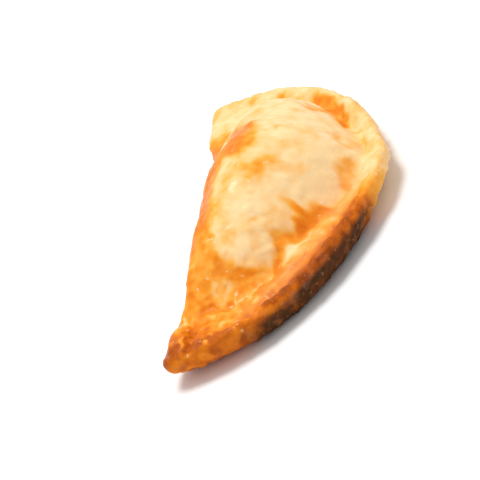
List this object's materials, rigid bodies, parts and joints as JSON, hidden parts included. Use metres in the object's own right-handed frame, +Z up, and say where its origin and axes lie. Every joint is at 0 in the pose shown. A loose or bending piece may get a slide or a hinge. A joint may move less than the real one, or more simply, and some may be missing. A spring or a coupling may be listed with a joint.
{
  "type": "empanada",
  "caption": "Baked half-moon empanada, whole and uncut: a domed golden crust folded over, with a crimped rim and a turned-over tip.",
  "frame": {"origin": "on the table, under the middle of the crust's box", "axes": "+X along the fold from the near tip, with its turned-over tongue, to the far tip; +Y towards the folded edge, so the crimped rim faces -Y; +Z up through the dome"},
  "size_m": [0.142, 0.0724, 0.0343],
  "materials": {
    "golden_crust": "baked dough, matte to faintly glossy with egg wash, pale gold with browned patches"
  },
  "bodies": {
    "root": {"crust": "golden_crust"}
  },
  "joints": []
}
